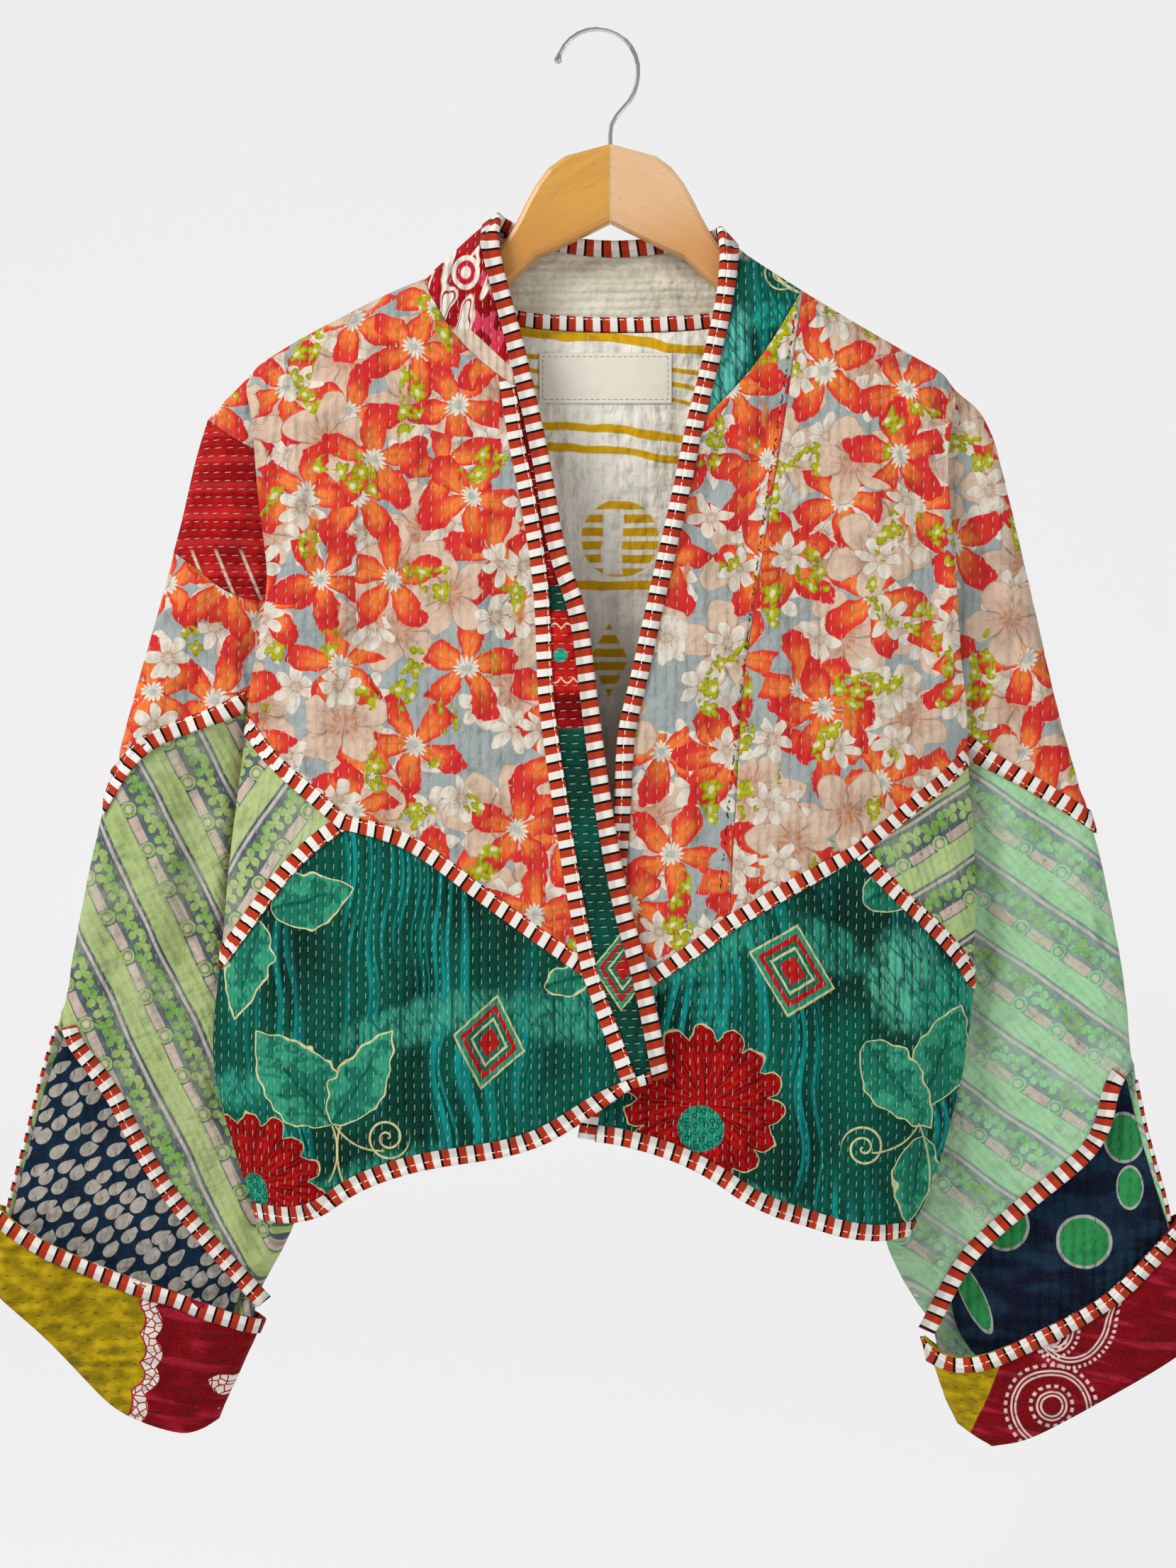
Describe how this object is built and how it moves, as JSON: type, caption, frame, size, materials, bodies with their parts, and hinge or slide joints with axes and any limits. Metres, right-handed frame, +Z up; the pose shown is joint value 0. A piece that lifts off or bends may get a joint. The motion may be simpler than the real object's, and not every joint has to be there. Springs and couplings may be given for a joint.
{
  "type": "kantha jacket on a hanger",
  "caption": "Hip-length quilted patchwork jacket with an open V front, bound edges and turned-up cuffs, hung on a mitred wooden hanger with a wire hook.",
  "frame": {"origin": "underside of the crown of the hook's wire, where a rail or nail carries the hanger", "axes": "+Z up, the front faces -Y, +X to the viewer's right (the wearer's left)"},
  "size_m": [0.7551, 0.0766, 0.8745],
  "materials": {
    "floral": "quilted cotton, orange and grey-blue flowers, soft",
    "striped_print": "quilted cotton, pale green and grey-blue diagonal bands",
    "teal_batik": "quilted cotton, cloudy teal resist print",
    "red_cotton": "quilted cotton, dark red",
    "cream_cotton": "plain weave cotton, worn cream",
    "label_cotton": "plain weave tape, bare",
    "navy_print": "printed cotton, dark blue",
    "mustard_print": "quilted cotton, mustard and crimson",
    "striped_binding": "fine cotton bias tape, rust and white stripes",
    "honey_wood": "clear satin lacquer",
    "hook_wire": "bright plated wire"
  },
  "bodies": {
    "root": {"front_upper_left": "floral", "front_upper_right": "floral", "front_inner_right": "floral", "back_upper": "floral", "sleeve_upper_left": "floral", "sleeve_upper_right": "floral", "front_side_left": "striped_print", "front_side_right": "striped_print", "sleeve_lower_left": "striped_print", "sleeve_lower_right": "striped_print", "front_lower_left": "teal_batik", "front_lower_right": "teal_batik", "back_lower": "teal_batik", "collar_right": "teal_batik", "front_band_left": "red_cotton", "collar_left": "red_cotton", "sleeve_patch_left": "red_cotton", "neck_band": "cream_cotton", "back_lining": "cream_cotton", "label": "label_cotton", "sleeve_lining_left": "navy_print", "sleeve_lining_right": "navy_print", "cuff_left": "mustard_print", "cuff_right": "mustard_print", "apex_binding_left": "striped_binding", "apex_binding_right": "striped_binding", "back_seam_binding": "striped_binding", "band_seam_binding": "striped_binding", "cuff_binding_left": "striped_binding", "cuff_binding_right": "striped_binding", "diagonal_binding_left": "striped_binding", "diagonal_binding_right": "striped_binding", "edge_binding_left": "striped_binding", "edge_binding_right": "striped_binding", "hem_binding_back": "striped_binding", "hem_binding_left": "striped_binding", "hem_binding_right": "striped_binding", "neck_binding": "striped_binding", "neck_seam_binding": "striped_binding", "sleeve_seam_binding_left": "striped_binding", "sleeve_seam_binding_right": "striped_binding", "slit_binding_left": "striped_binding", "slit_binding_right": "striped_binding", "vent_binding_left": "striped_binding", "vent_binding_right": "striped_binding", "hanger_left": "honey_wood", "hanger_right": "honey_wood", "hanger_hook": "hook_wire"}
  },
  "joints": []
}
